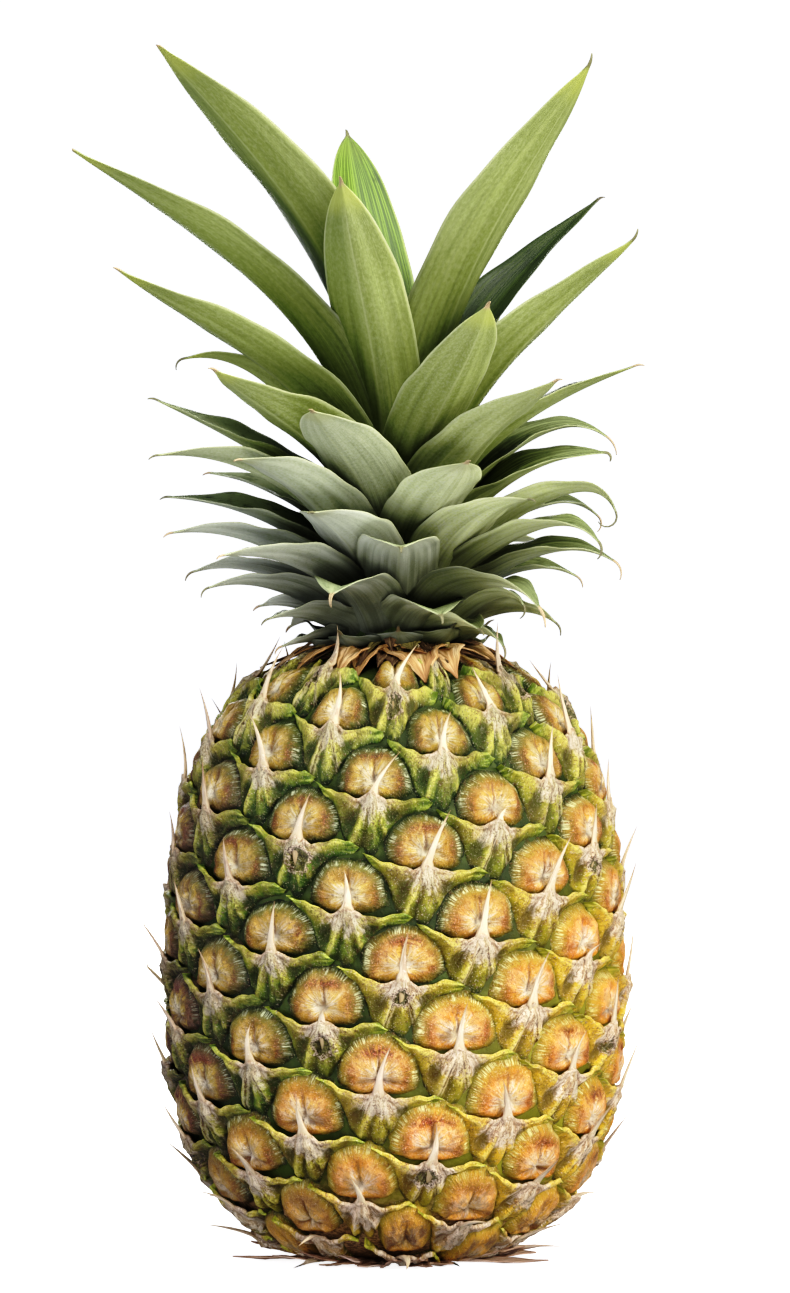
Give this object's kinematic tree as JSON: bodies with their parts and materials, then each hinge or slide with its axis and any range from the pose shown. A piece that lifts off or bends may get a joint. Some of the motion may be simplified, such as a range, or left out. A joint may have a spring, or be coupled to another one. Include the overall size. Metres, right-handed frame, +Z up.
{
  "type": "pineapple",
  "caption": "Whole ripe pineapple standing on its base, with spiral eyes, dry spines, brown neck bracts and a leafy green crown.",
  "frame": {"origin": "centre of the cut stalk's flat underside, on the fruit's axis, at the level of the surface it stands on", "axes": "+Z up along the fruit's axis toward the crown, -Y the side that is seen from the front, +X to its right"},
  "size_m": [0.1652, 0.145, 0.3477],
  "materials": {
    "fruit_rind": "waxy, uneven: olive and amber eyes, yellow-green bracts",
    "dry_stalk": "dry, fibrous",
    "dry_bract": "dry, papery",
    "crown_leaf": "satin, with a pale bloom on the undersides"
  },
  "bodies": {
    "root": {"fruit_body": "fruit_rind", "peduncle": "dry_stalk", "neck_bracts": "dry_bract", "crown": "crown_leaf"}
  },
  "joints": []
}
